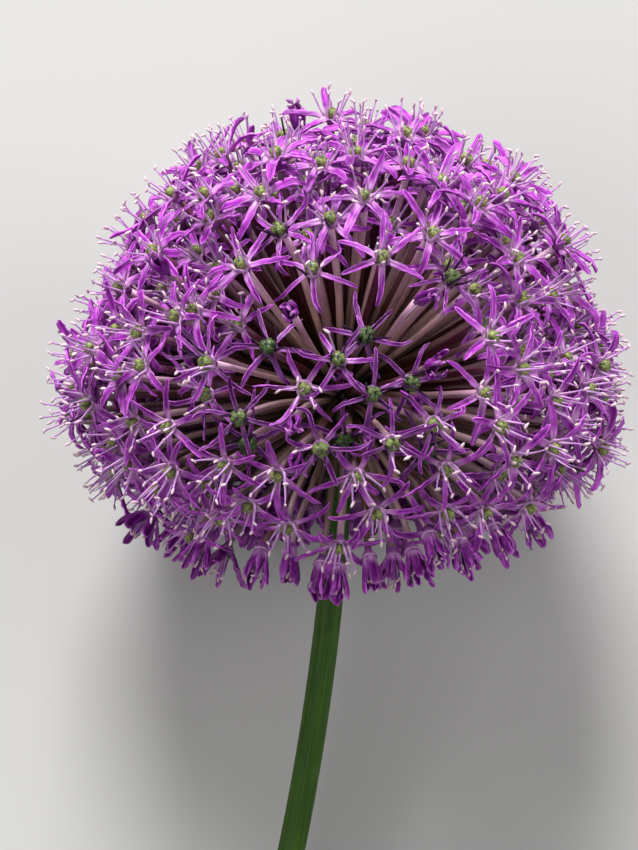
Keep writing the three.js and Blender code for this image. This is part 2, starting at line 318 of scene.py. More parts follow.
# Stalk skin: smooth and waxy, green inside with a purple flush outside. Some look pale mauve, others
# dark maroon, all greener and darker towards the middle of the head, partly with painted shade, and
# browner and darker in its lower half, which is painted shade. Those on the right of the head get
# painted light that makes them paler. Fine lines run along them.
def stalkSkin():
    stalk = {
        "pale": "#e0b0cc", "paleMiddle": "#dab3a6", "dark": "#5c1a40", "darkMiddle": "#481a18",
        "inner": "#433a18", "line": "#3f1a2b", "low": "#5a4c3a", "relief": 0.07,
    }
    material, tree, shader, (along, across, tone, shadeLowness) = newMaterial(
        "stalkSkin", {"Roughness": 0.38, "IOR": 1.42}, attributeNames)
    outward = addNode(tree, "ShaderNodeMapRange", {0: along, 1: 0.45, 2: 0.95})
    for name in ("dark", "pale"):
        stalk[name] = addNode(tree, "ShaderNodeMix", {
            "data_type": "RGBA", 0: outward, 6: stalk[name + "Middle"], 7: stalk[name]}, 2)
    flush = addNode(tree, "ShaderNodeMapRange", {0: along, 1: 0.3, 2: 1.0, 3: 0.45, 4: 0.2})
    paleness = addNode(tree, "ShaderNodeMapRange", {0: tone, 1: flush, 2: 0.85})
    # towards the head's middle they turn dark olive: partly their greener base, partly painted shade
    greenerAndShadedInside = addNode(tree, "ShaderNodeMapRange", {0: along, 1: 0.45, 2: 0.0})
    # painted shade: stalks in the lower half of the head are darkened towards a grey brown
    low = addNode(tree, "ShaderNodeMapRange", {0: shadeLowness, 4: 0.55})

    # fine lines, each stalk with its own
    lines = streaksAlong(tree, along, across, tone, (9.0, 12.0), 7.0, 50.0, 2.0)
    streak = addNode(tree, "ShaderNodeMapRange", {0: lines, 1: 0.5, 2: 0.8, 4: 0.5})
    layers = [(paleness, "pale"), (low, "low"), (greenerAndShadedInside, "inner"), (streak, "line")]
    finishMaterial(tree, shader, stalk, "dark", layers, lines, stalk["relief"])
    return material


# Stem skin: a hard dark green rind under a thin wax bloom. It looks smooth and a little greyed where
# the wax is thick, with fine ribs along it.
def stemRind():
    rind = {"deep": "#1c3a00", "light": "#3a6200", "bloom": "#4a6a10", "patch": 7.0, "relief": 0.1}
    material, tree, shader, (along, around, tone) = newMaterial(
        "stemRind", {"Roughness": 0.62, "IOR": 1.36}, attributeNames[:3])
    ribs = streaksAlong(tree, along, around, tone, (46.0, 46.0), 9.0, 0.0, 3.0)
    light = addNode(tree, "ShaderNodeMapRange", {0: ribs, 1: 0.35, 2: 0.75, 4: 0.7})
    place = addNode(tree, "ShaderNodeTexCoord", {}, "Object")
    patches = addNode(tree, "ShaderNodeTexNoise",
                      {"Vector": place, "Scale": 1 / (rind["patch"] * mm), "Detail": 4.0})
    bloom = addNode(tree, "ShaderNodeMapRange", {0: patches, 1: 0.5, 2: 0.8, 4: 0.25})
    finishMaterial(tree, shader, rind, "deep", [(light, "light"), (bloom, "bloom")], ribs, rind["relief"])
    return material


# The cut through the stem: wet spongy pith with a ring of darker strands under the rind.
def cutPith():
    pith = {"sponge": "#cfd8a2", "ring": "#7f9a46", "cell": 0.3, "relief": 0.08}
    material, tree, shader, (outward,) = newMaterial(
        "cutPith", {"Roughness": 0.38, "IOR": 1.38}, ("across",))
    place = addNode(tree, "ShaderNodeTexCoord", {}, "Object")
    cells = addNode(tree, "ShaderNodeTexVoronoi", {"Vector": place, "Scale": 1 / (pith["cell"] * mm)})
    strands = addNode(tree, "ShaderNodeMapRange", {0: outward, 1: 0.6, 2: 0.95})
    walls = addNode(tree, "ShaderNodeMapRange", {0: cells, 1: 0.3, 2: 0.9, 4: 0.5})
    finishMaterial(tree, shader, pith, "sponge", [(strands, "ring"), (walls, "ring")], cells, pith["relief"])
    return material


# Matt painted board for the floor: pale, even and without gloss.
def mattBoard():
    return newMaterial("mattBoard", {"Base Color": toLinear("#a9a8a6"), "Roughness": 0.9})[0]


# Meshes are gathered as points in mm, with faces and one value per point of each attribute.
def newStock():
    return {"points": [], "faces": [], "count": 0, **{name: [] for name in attributeNames}}


# What would reach below the surface bends and lies down on it. A point starts to bend at one height
# and never gets lower than the other.
def settled(points):
    start, least = 1.0, 0.12
    z = points[:, 2]
    bent = least + (start - least) * np.exp((z - start) / (start - least))
    points[:, 2] = np.where(z < start, bent, z)
    return points


# Adds a body made of rings of points, each closed, with a face over each end.
def addRings(stock, rings, **values):
    steps, sides = rings.shape[:2]
    first = stock["count"]
    stock["points"].append(settled(rings.reshape(-1, 3).copy()))
    for name in attributeNames:
        value = np.broadcast_to(values.get(name, 0.0), (steps, sides))
        stock[name].append(value.reshape(-1))
    index = first + np.arange(steps * sides).reshape(steps, sides)
    after = np.roll(index, -1, axis=1)
    quads = np.stack([index[:-1], after[:-1], after[1:], index[1:]], axis=-1).reshape(-1, 4)
    stock["faces"] += quads.tolist()
    stock["faces"].append(index[0, ::-1].tolist())
    stock["faces"].append(index[-1].tolist())
    stock["count"] += steps * sides


def makePiece(name, stock, material, node):
    mesh = bpy.data.meshes.new(name)
    points = np.concatenate(stock["points"]) * mm
    mesh.from_pydata(points.tolist(), [], stock["faces"])
    for attributeName in attributeNames:
        layer = mesh.attributes.new(attributeName, "FLOAT", "POINT")
        layer.data.foreach_set("value", np.concatenate(stock[attributeName]).astype(np.float32))
    mesh.shade_smooth()
    mesh.materials.append(material)
    piece = bpy.data.objects.new(name, mesh)
    scene.collection.objects.link(piece)
    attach(piece, "root")
    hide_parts(node)
    triangles = sum(len(face) - 2 for face in stock["faces"])
    print(name, "has", triangles, "triangles")
    return piece


# Runs rings of a tube round a line of points, thicker or thinner along it. The guide is a direction
# well off the line, from which each ring's points are counted.
def tubeRings(line, radii, sides, guide=None):
    tangents = np.gradient(line, axis=0)
    tangents /= np.linalg.norm(tangents, axis=1, keepdims=True)
    if guide is None:
        guide = headSide if abs(tangents[0] @ headSide) < 0.8 else down
    side = np.cross(tangents, guide)
    side /= np.linalg.norm(side, axis=1, keepdims=True)
    other = np.cross(tangents, side)
    angles = np.linspace(0, 2 * math.pi, sides, endpoint=False)
    ring = (np.cos(angles)[None, :, None] * side[:, None, :]
            + np.sin(angles)[None, :, None] * other[:, None, :])
    return line[:, None, :] + ring * np.asarray(radii).reshape(-1, 1, 1)


# The florets nearest to the camera, as they show in the photo: the middle of each ovary in pixels, the
# angle of one of its tepals where that shows, and its age from 0, just open, to 1, with seed set.
floretsSeen = [
    (312, 267, 30, 0.5), (383, 254, 30, 0.4), (338, 360, 0, 0.7), (303, 388, 0, 0.5),
    (365, 335, 45, 1.0), (267, 347, 48, 1.0), (373, 394, 22, 0.9), (412, 382, 10, 0.9),
    (236, 418, None, 0.8), (320, 449, 52, 0.7), (393, 444, 29, 0.6), (436, 424, 12, 0.5),
    (276, 476, 33, 0.2), (357, 477, 4, 0.1), (450, 470, 23, 0.0), (285, 530, 32, 0.1),
    (378, 515, 57, 0.0), (340, 550, 5, 0.1), (440, 535, 0, 0.0), (208, 214, 25, 0.3),
    (240, 262, 47, 0.4), (190, 308, 39, 0.1), (205, 362, 20, 0.6), (488, 393, None, 0.0),
    (495, 335, None, 0.0), (279, 226, None, 0.5), (330, 215, None, 0.4), (365, 192, None, 0.3),
    (434, 230, None, 0.3), (453, 275, None, 0.8), (203, 395, None, 0.6), (222, 466, None, 0.1),
    (217, 520, None, 0.0), (155, 490, None, 0.0), (164, 427, None, 0.2), (137, 365, None, 0.3),
    (150, 248, None, 0.3), (235, 185, None, 0.3), (170, 190, None, 0.2), (305, 180, None, 0.4),
    (357, 150, None, 0.3), (410, 160, None, 0.3), (443, 177, None, 0.3), (466, 205, None, 0.4),
    (520, 255, None, 0.2), (525, 297, None, 0.4), (504, 427, None, 0.2), (519, 461, None, 0.2),
    (490, 514, None, 0.0), (320, 160, None, 0.3), (275, 150, None, 0.3), (220, 150, None, 0.2),
    (116, 285, None, 0.2), (115, 375, None, 0.2), (555, 292, None, 0.2), (560, 401, None, 0.2),
    (172, 315, None, 0.4), (134, 331, None, 0.2), (129, 422, None, 0.2), (109, 442, None, 0.1),
    (203, 191, None, 0.3), (290, 145, None, 0.3), (364, 124, None, 0.3), (482, 200, None, 0.3),
    (504, 191, None, 0.3), (544, 228, None, 0.2), (582, 326, None, 0.1), (551, 372, None, 0.3),
    (577, 427, None, 0.1), (558, 449, None, 0.1), (186, 538, None, 0.0), (534, 509, None, 0.0),
]
# The half-closed bells that hang from the near side of the lowest ring, with how far each has opened.
bellsSeen = [
    (152, 512, 16), (176, 527, 14), (205, 538, 8), (227, 549, 20), (262, 550, 2), (290, 551, -3),
    (321, 563, -3), (338, 566, -4), (369, 556, -2), (393, 556, 14), (413, 550, 0), (429, 534, 0),
    (459, 541, 4), (493, 526, 0), (527, 512, 10),
]
# Places where gaps between the florets and stalks need a floret on the far side behind them.
behindSeen = [
    (147, 399), (216, 249), (250, 243), (308, 258), (534, 471), (441, 222), (404, 204), (506, 515),
    (482, 247), (171, 517), (542, 318),
]
# Florets that have wilted to tufts.
wiltedSeen = [(292, 313), (420, 300), (295, 420), (430, 366), (165, 270)]
# Old florets that hang half hidden under their neighbours.
underSeen = [
    (297, 455, "wilted"), (370, 431, "wilted"), (424, 451, "aged"), (250, 441, "aged"),
    (412, 402, "wilted"), (338, 372, "wilted"), (206, 352, "aged"), (345, 440, "aged"),
]

# Every floret has random draws of its own, so that a new one doesn't change what the others draw. These
# are the seeds of the first ones.
seeds = {
    "listed": 100, "wilted": 200, "bells": 300, "behind": 400, "under": 500, "places": 7, "unlisted": 1000,
    "ovaries": 3000, "stamens": 5000, "stalks": 7000,
}

# How the florets sit on the head, in mm and degrees. What is set from and to two values of "facing" is
# by how directly a floret faces the camera, from -1 to 1.
setting = {
    "count": 500,            # on a head of this size, all round
    # parts where only the listed florets grow: the middle in pixels and the degrees round it
    "openPatches": [(352, 330, 29.0), (345, 480, 25.0)],
    "leastSpacing": 7.2,     # degrees between a listed floret and any other at its height
    "closest": 4.9,          # degrees between it and one that stands deeper
    "underDepth": 7.5,       # mm deeper
    "unevenness": 1.8,
    "room": 1.25,            # mm that tepals of neighbours keep apart where they can
    "neighbours": 20.0,      # mm within which a floret's base makes it a neighbour
    "shifts": (0.0, -1.0, 1.0, -0.5, 0.5),    # of the stalk's length, tried in this order
    "spins": 8,              # turns that are tried, and the degrees between them
    "spinStep": 7.5,
    "seenHeight": 1.6,       # from a floret's base to the middle of its ovary, which the list gives
    "pressAngles": (20.0, 34.0),    # from straight down, where florets lie on the surface
    "lying": 0.5,            # pressed by this share or more, a floret counts as lying there
    "pressedRise": 4.0,      # the most that their tepals rise from it
    "tilt": 0.09,            # how much a floret's axis strays from its stalk's line
    "droop": 0.7,            # how far the lowest florets hang down from their own line
    "droopFrom": (85.0, 122.0),
    "turned": 0.35,          # how far the florets of the rim turn to the camera, as the photo's do
    "turnedFacing": (-0.4, 0.05),
    "slimness": 0.67,        # tepals of the florets nearest to the camera are slimmer
    "slimFacing": (0.4, 0.9),
    "farWidth": 1.3,         # tepals on the far side are broader and flatter, which closes gaps there
    "farFold": 0.55,
    "farFacing": -0.4,
    "usualAge": (0.15, 0.22),    # of unlisted florets: the mean and the spread
    "oldest": 0.38,
    "agedFrom": 0.45,        # the age from which tepals are shrunken and bent
    "behindAge": 0.2,
    "opening": (-2, 14),     # degrees that the tepals of an unlisted bell have opened
    "bellAge": 0.4,          # bells are as dark as florets of this age
    "wiltedAge": 1.3,
    "wiltedShare": 0.015,
    "wiltedCurl": 50.0,      # how far wilted tepals curl in over the middle of their floret
    "wiltedSize": 1.25,      # how much bigger they then are than the room they were given
}


def spiralDirections(draw):
    goldenAngle = math.pi * (3 - math.sqrt(5))
    lowest = math.cos(math.radians(head["lowestFloret"]))
    directions = []
    for i in range(setting["count"]):
        polar = math.acos(blend(1.0, lowest, (i + 0.5) / setting["count"]))
        polar += math.radians(setting["unevenness"]) * draw.uniform(-1, 1)
        strayed = math.radians(setting["unevenness"]) * draw.uniform(-1, 1)
        turn = i * goldenAngle + strayed / math.sin(polar)
        directions.append(math.cos(polar) * headAxis + math.sin(polar) * (
            math.cos(turn) * headSide + math.sin(turn) * headFront))
    return directions


def degreesBetween(a, b):
    return math.degrees(math.acos(np.clip(a @ b, -1.0, 1.0)))


# What varies from tepal to tepal. Angles are degrees, lengths mm; each pair is the least and most.
tepalKinds = {
    "open": {
        "length": (7.4, 9.2), "width": (1.8, 2.5), "rise": (-8, 30), "bend": (5, 50), "elbow": (-14, 14),
        "sway": (-18, 18), "twist": (-42, 42), "hook": (-38, 28), "fold": (0.8, 1.5), "tip": 0.38,
    },
    "aged": {
        "length": (7.2, 9.4), "width": (1.35, 1.85), "rise": (-16, 24), "bend": (-5, 60), "elbow": (-45, 45),
        "sway": (-26, 26), "twist": (-75, 75), "hook": (-70, 60), "fold": (1.0, 1.7), "tip": 0.34,
    },
    "bell": {
        "length": (6.4, 8.4), "width": (1.7, 2.5), "rise": (66, 84), "bend": (-26, 0), "elbow": (-20, 20),
        "sway": (-16, 16), "twist": (-40, 40), "hook": (-30, 40), "fold": (0.6, 1.3), "tip": 0.28,
    },
    "wilted": {
        "length": (4.2, 6.0), "width": (1.2, 2.0), "rise": (64, 90), "bend": (-70, 60), "elbow": (-60, 60),
        "sway": (-50, 50), "twist": (-140, 140), "hook": (-130, 150), "fold": (0.9, 1.7), "tip": 0.5,
    },
}
tepal = {
    "steps": 10,
    "crowding": 1.3,       # more than 1 sets the steps closer together towards the tip
    "late": {"bend": 1.6, "sway": 1.5, "twist": 1.4},    # more than 1: each comes later along the tepal
    "hookFrom": 0.66,      # how far along the tip begins to bend
    "elbow": (0.6, 0.85),  # how far along it turns to one side
    "felt": [3, 5, 6, 8, 9],    # the steps that neighbours keep clear of
    "axisFelt": (0.5, 2.6, -4.0),    # and such places on the floret's axis, from its base
    "apart": 60,           # degrees from one tepal to the next
    "whorlLift": 0.12,     # mm that the inner three stand above the outer three
    "oddShare": 0.25,      # of tepals that are more bent than the others, and how much more
    "odd": {"hook": 1.9, "twist": 1.8, "elbow": 2.0, "sway": 1.5},
    "foot": 0.95,          # mm from the floret's axis
    "footWidth": 0.75,     # before the tepal gets wider
    "widening": 0.6,
    "narrowest": 0.04,     # of its width, at the tip
    "footFold": 0.7,       # of its fold, at the foot
    "thickness": 0.24,
    "edgeThinning": 0.45,
    "thinBelow": 0.5,      # half widths below which it gets thinner, and the least share of that
    "thinnest": 0.2,
    "skew": 0.4,           # how far its fold may lie to one side
    "crinkle": 0.2,
    "crinkleWidth": 0.7,   # the half width from which the crinkles are that deep
    "waves": (2, 5),       # crinkles along each edge
    "waveTurn": 6.3,       # radians to each
}


def drawTepals(kind, draw):
    ranges = tepalKinds[kind]
    tepals = [{name: draw.uniform(*span) for name, span in ranges.items() if name != "tip"} for _ in range(6)]
    for each in tepals:
        each["tone"] = draw.uniform() if kind != "bell" else draw.uniform(0.0, 0.5)
        each["tip"] = ranges["tip"]
        each["waves"] = draw.uniform(*tepal["waves"], 2)
        each["phases"] = draw.uniform(0, 6, 2)
        each["skew"] = draw.uniform(-tepal["skew"], tepal["skew"])
        if draw.uniform() < tepal["oddShare"]:
            for name, factor in tepal["odd"].items():
                each[name] *= factor
    return tepals


# Directions that rise by the pitch and turn aside by the yaw, one for each pair of angles.
def heading(pitch, yaw):
    return np.stack([np.cos(pitch) * np.cos(yaw), np.cos(pitch) * np.sin(yaw), np.sin(pitch)], axis=1)


# The middle line of a tepal, with the directions across it and out of its face at each step. The
# floret's own axes are used: x away from its middle, z along it.
def tepalLine(shape):
    s = 1 - (1 - np.linspace(0, 1, tepal["steps"])) ** tepal["crowding"]
    hook = smooth(tepal["hookFrom"], 1.0, s)
    bend, sway, twist = [shape[name] * s ** power for name, power in tepal["late"].items()]
    pitch = np.radians(shape["rise"] - bend + shape["hook"] * hook)
    yaw = np.radians(sway + shape["elbow"] * smooth(*tepal["elbow"], s))
    ahead = heading(pitch, yaw)
    steps = np.diff(s)[:, None] * shape["length"] * (ahead[1:] + ahead[:-1]) / 2
    line = np.concatenate([np.zeros((1, 3)), np.cumsum(steps, axis=0)])
    line += np.array([tepal["foot"], 0.0, shape["lift"]])
    level = np.stack([-np.sin(yaw), np.cos(yaw), np.zeros_like(yaw)], axis=1)
    face = np.cross(ahead, level)
    twist = np.radians(twist)[:, None]
    across = level * np.cos(twist) + face * np.sin(twist)
    face = face * np.cos(twist) - level * np.sin(twist)
    return s, line, across, face


# The skin of a tepal, ring by ring: a folded blade with thin crinkled edges and a thicker middle. Each
# ring has five points across its face and three across its back.
def tepalRings(shape):
    s, line, across, face = tepalLine(shape)
    outline = (1 - s) ** shape["tip"] * (tepal["footWidth"] + tepal["widening"] * s)
    halfWidth = shape["width"] / 2 * np.maximum(outline / outline.max(), tepal["narrowest"])
    places = np.array([-1.0, -0.5, 0.0, 0.5, 1.0, 0.55, 0.0, -0.55])
    below = np.array([0.0] * 5 + [1.0] * 3)
    fold = shape["fold"] * blend(tepal["footFold"], 1.0, s)[:, None]
    angle = fold * (places + shape["skew"] * (1 - places ** 2))[None, :]
    radius = halfWidth[:, None] / fold
    thick = (tepal["thickness"] * (1 - tepal["edgeThinning"] * np.abs(places)) * below)[None, :]
    thick = thick * np.clip(halfWidth[:, None] / tepal["thinBelow"], tepal["thinnest"], 1.0)
    left, right = [np.sin(count * tepal["waveTurn"] * s + phase)[:, None]
                   for count, phase in zip(shape["waves"], shape["phases"])]
    edge = np.where(places < 0, left, right) * np.abs(places) ** 2
    edge = edge * tepal["crinkle"] * np.clip(halfWidth[:, None] / tepal["crinkleWidth"], 0, 1)
    sideways = (radius + thick) * np.sin(angle)
    raised = radius * (1 - np.cos(angle)) - thick * np.cos(angle) + edge
    rings = line[:, None, :] + across[:, None, :] * sideways[..., None] + face[:, None, :] * raised[..., None]
    return rings[:, ::-1], s, np.abs(places[::-1])


def floretPlace(floret, spin):
    axis = floret["axis"]
    right = imageRight - axis * (imageRight @ axis)
    if np.linalg.norm(right) < 0.3:    # it points nearly to the right itself
        right = np.cross(imageUp, axis)
    right = unit(right)
    turned = math.radians(spin)
    x = right * math.cos(turned) + np.cross(axis, right) * math.sin(turned)
    return np.stack([x, np.cross(axis, x), axis])


def spun(points, degrees):    # turns points round a floret's own axis
    c, s = math.cos(math.radians(degrees)), math.sin(math.radians(degrees))
    return points @ np.array([[c, s, 0.0], [-s, c, 0.0], [0.0, 0.0, 1.0]])


# Points of a floret that keep it clear of its neighbours: on its axis, from the stalk to the style, and
# along its tepals.
def feelers(floret):
    points = [np.array([[0.0, 0.0, height] for height in tepal["axisFelt"]])]
    for i, shape in enumerate(floret["tepals"]):
        line = tepalLine(shape)[1]
        points.append(spun(line[tepal["felt"]], tepal["apart"] * i))
    return np.concatenate(points)


def usualReach(direction):
    up = direction @ headAxis
    reach = head["floretReach"] + head["topGain"] * max(up, 0) ** 2
    reach -= head["lowLoss"] * smooth(*head["lowLossFrom"], degreesBetween(direction, headAxis))
    for depth, place, width in head["dents"]:
        dented = math.cos(math.radians(place)) * headAxis + math.sin(math.radians(place)) * headSide
        reach -= depth * math.exp(-(degreesBetween(direction, dented) / width) ** 2)
    reach -= head["farLoss"] * smooth(*head["farLossFrom"], direction @ toCamera)
    if up < 0:
        reach = min(reach, head["flatBottom"] / -up)
    drop = direction @ down
    if drop > head["bentFrom"]:
        reach = min(reach, (head["centre"][2] - head["ovaryRoom"]) / drop)
    return reach


def newFloret(direction, age, draw, kind=None, opening=0.0):
    polar = degreesBetween(direction, headAxis)
    if kind is None:
        kind = "aged" if age > setting["agedFrom"] else "open"
        if polar > head["bellAngle"]:
            kind = "bell"
    lean = draw.normal(0, setting["tilt"], 3)
    lean -= headAxis * setting["droop"] * smooth(*setting["droopFrom"], polar)
    facing = direction @ toCamera
    lean += toCamera * setting["turned"] * smooth(*setting["turnedFacing"], facing) * (1 - max(facing, 0.0))
    press = 1 - smooth(*setting["pressAngles"], degreesBetween(direction, down))
    axis = unit(unit(direction + lean) * (1 - press) + down * press)
    tepals = drawTepals(kind, draw)
    for i, shape in enumerate(tepals):
        shape["lift"] = tepal["whorlLift"] * (i % 2)
        shape["rise"] -= opening
        shape["rise"] = blend(shape["rise"], min(shape["rise"], setting["pressedRise"]), press)
        if facing < setting["farFacing"]:
            shape["width"] *= setting["farWidth"]
            shape["fold"] *= setting["farFold"]
        elif kind != "bell":
            shape["width"] *= blend(1.0, setting["slimness"], smooth(*setting["slimFacing"], facing))
    return {"direction": direction, "axis": axis, "age": age, "kind": kind, "tepals": tepals,
            "press": press, "lies": press >= setting["lying"]}


def seenAt(x, y, height=0.0, side=-1):    # a pixel's direction, for whatever reach a floret then gets
    return lambda reach: seenDirection(x, y, reach + height, side)


# Sets each floret at the reach and turn where it has most room, the listed ones first.
def placeFlorets():
    placed = []

    def settle(makeDirection, age, draw, turn=None, kind=None, depth=0.0, opening=0.0):
        floret = newFloret(makeDirection(head["floretReach"]), age, draw, kind, opening)
        points = feelers(floret)
        spins = [turn]
        if turn is None:
            spins = [draw.uniform(0, tepal["apart"]) + setting["spinStep"] * i
                     for i in range(setting["spins"])]
        best = None
        for shift in setting["shifts"]:
            direction = makeDirection(head["floretReach"])
            reach = usualReach(direction)
            if not floret["lies"]:
                reach += shift * head["reachSpread"] - depth
                direction = makeDirection(reach)
            base = headCentre + direction * reach
            near = [other["feelers"] for other in placed
                    if np.linalg.norm(other["base"] - base) < setting["neighbours"]]
            for spin in spins:
                frameRows = floretPlace(floret, spin)
                here = points @ frameRows + base
                room = math.inf
                if near:
                    others = np.concatenate(near)
                    gaps = np.linalg.norm(here[:, None, :] - others[None, :, :], axis=2)
                    room = gaps.min()
                if best is None or room > best[0]:
                    best = (room, base, frameRows, here, direction)
            if best[0] > setting["room"] or floret["lies"]:
                break
        floret["base"], floret["frame"], floret["feelers"], floret["direction"] = best[1:]
        placed.append(floret)

    for i, (x, y, turn, age) in enumerate(floretsSeen):
        draw = np.random.default_rng(seeds["listed"] + i)
        settle(seenAt(x, y, setting["seenHeight"]), age, draw, turn)
    for i, (x, y, opening) in enumerate(bellsSeen):
        draw = np.random.default_rng(seeds["bells"] + i)
        settle(seenAt(x, y), setting["bellAge"], draw, kind="bell", opening=opening)
    for i, (x, y) in enumerate(wiltedSeen):
        draw = np.random.default_rng(seeds["wilted"] + i)
        settle(seenAt(x, y), 1.0, draw, kind="wilted")
    listed = [floret["direction"] for floret in placed]
    patches = [(seenDirection(x, y, head["floretReach"]), reach) for x, y, reach in setting["openPatches"]]
    for i, direction in enumerate(spiralDirections(np.random.default_rng(seeds["places"]))):
        draw = np.random.default_rng(seeds["unlisted"] + i)
        if any(degreesBetween(direction, middle) < reach for middle, reach in patches):
            continue
        spacing = min(degreesBetween(direction, other) for other in listed)
        if spacing < setting["closest"] or (spacing < setting["leastSpacing"] and direction @ headAxis < 0):
            continue
        low = degreesBetween(direction, headAxis) > head["bellAngle"]
        if low and direction @ toCamera > 0:    # only the listed bells grow there
            continue
        wilted = "wilted" if draw.uniform() < setting["wiltedShare"] else None
        age = 1.0 if wilted else float(np.clip(draw.normal(*setting["usualAge"]), 0.0, setting["oldest"]))
        depth = head["deepest"] * draw.uniform() ** 2
        if spacing < setting["leastSpacing"]:
            depth = setting["underDepth"]
        opening = 0.0
        if low:
            opening = draw.uniform(*setting["opening"])
            age = max(age, setting["bellAge"])
        settle(lambda reach, direction=direction: direction, age, draw, None, wilted, depth, opening)
    for i, (x, y) in enumerate(behindSeen):
        draw = np.random.default_rng(seeds["behind"] + i)
        settle(seenAt(x, y, side=1), setting["behindAge"], draw)
    for i, (x, y, kind) in enumerate(underSeen):
        draw = np.random.default_rng(seeds["under"] + i)
        settle(seenAt(x, y), 1.0, draw, kind=kind, depth=setting["underDepth"])
    return placed


florets = placeFlorets()
print(len(florets), "florets placed")


def inWorld(floret, points):
    return points @ floret["frame"] + floret["base"]


def makeTepals(tissue):
    stocks = {"outerTepals": newStock(), "innerTepals": newStock(),
              "bellTepals": newStock(), "wiltedTepals": newStock()}
    for floret in florets:
        for i, shape in enumerate(floret["tepals"]):
            if floret["kind"] == "wilted":
                shape["bend"] -= setting["wiltedCurl"]
                shape["length"] *= setting["wiltedSize"]
                shape["width"] *= setting["wiltedSize"]
            whorl = "innerTepals" if i % 2 else "outerTepals"
            name = {"bell": "bellTepals", "wilted": "wiltedTepals"}.get(floret["kind"], whorl)
            rings, s, across = tepalRings(shape)
            rings = inWorld(floret, spun(rings, tepal["apart"] * i))
            age = setting["wiltedAge"] if floret["kind"] == "wilted" else floret["age"]
            addRings(stocks[name], rings, along=s[:, None], across=across[None, :],
                     tone=shape["tone"], age=age)
    for name, stock in stocks.items():
        makePiece(name, stock, tissue, "umbel")


# The cup that the tepals, filaments and ovary stand on.
def makeCups(tissue):
    cup = {
        "sides": 10,
        # heights and radii
        "profile": [(-1.9, 0.6), (-1.1, 0.74), (-0.5, 1.1), (0.0, 1.5), (0.4, 1.62), (0.3, 1.1)],
        # it has the colour of a tepal of that tone, so far along and across it
        "along": [0.3, 0.3, 0.22, 0.14, 0.05, 0.0], "across": 0.3, "tone": 0.5,
        "wiltedSize": 0.7,
    }
    stock = newStock()
    angles = np.linspace(0, 2 * math.pi, cup["sides"], endpoint=False)
    for floret in florets:
        size = cup["wiltedSize"] if floret["kind"] == "wilted" else 1.0
        rings = np.array([[(r * size * math.cos(a), r * size * math.sin(a), h) for a in angles]
                          for h, r in cup["profile"]])
        addRings(stock, inWorld(floret, rings), along=np.array(cup["along"])[:, None],
                 across=cup["across"], tone=cup["tone"], age=floret["age"])
    makePiece("floretCups", stock, tissue, "umbel")


# Ovaries: three swollen lobes with furrows between them. As the seed sets, each lobe splits in two
# bumps, and the whole gets broader and darker.
def makeOvaries():
    ovary = {
        # each pair is for the youngest and the oldest
        "sides": (18, 24), "radius": (1.15, 1.85), "seat": (1.2, 1.45), "furrow": (0.1, 0.3),
        "split": (0.02, 0.22),
        "rings": 7, "oldFrom": 0.4, "height": 0.9, "uneven": (0.93, 1.05), "lumps": 0.04,
        "openEnds": (0.1, 0.14),    # radians that the first and last ring stand off the poles
        "roundness": 0.6,           # of the lobes, less is rounder
        "dimple": 0.3, "dimpleWidth": 0.45, "eye": 0.9, "eyeWidth": 0.3,    # the eye on its top, darkened with painted shade
    }
    stock = newStock()
    top, foot = ovary["openEnds"]
    polar = np.linspace(top, math.pi - foot, ovary["rings"])[::-1]    # from its foot to its top
    belt = np.sin(polar)[:, None]
    for number, floret in enumerate(florets):
        if floret["kind"] == "wilted":
            continue
        age = floret["age"]
        draw = np.random.default_rng(seeds["ovaries"] + number)
        radius = blend(*ovary["radius"], age ** 1.5) * draw.uniform(*ovary["uneven"])
        turn = np.linspace(0, 2 * math.pi, ovary["sides"][age > ovary["oldFrom"]], endpoint=False)
        furrow = 1 - np.abs(np.cos(1.5 * turn)) ** ovary["roundness"]
        split = 1 - np.abs(np.cos(3 * turn + math.pi / 2)) ** ovary["roundness"]
        sunken = blend(*ovary["furrow"], age) * furrow + blend(*ovary["split"], age) * split
        spread = radius * (1 - sunken * belt ** 0.5) * belt
        dimple = ovary["dimple"] * np.exp(-(polar / ovary["dimpleWidth"]) ** 2)
        height = radius * ovary["height"] * np.cos(polar) * (1 - dimple)
        rings = np.stack([spread * np.cos(turn), spread * np.sin(turn),
                          np.broadcast_to(height[:, None], spread.shape)], axis=-1)
        rings += draw.normal(0, ovary["lumps"], rings.shape)
        rings[..., 2] += blend(*ovary["seat"], age)
        eye = ovary["eye"] * np.exp(-(polar[:, None] / ovary["eyeWidth"]) ** 2)
        # the furrows and the eye are told to the material, which darkens them with painted shade
        addRings(stock, inWorld(floret, rings), across=np.clip(furrow * belt + eye, 0, 1), age=age)
    makePiece("ovaries", stock, ovarySkin(), "umbel")


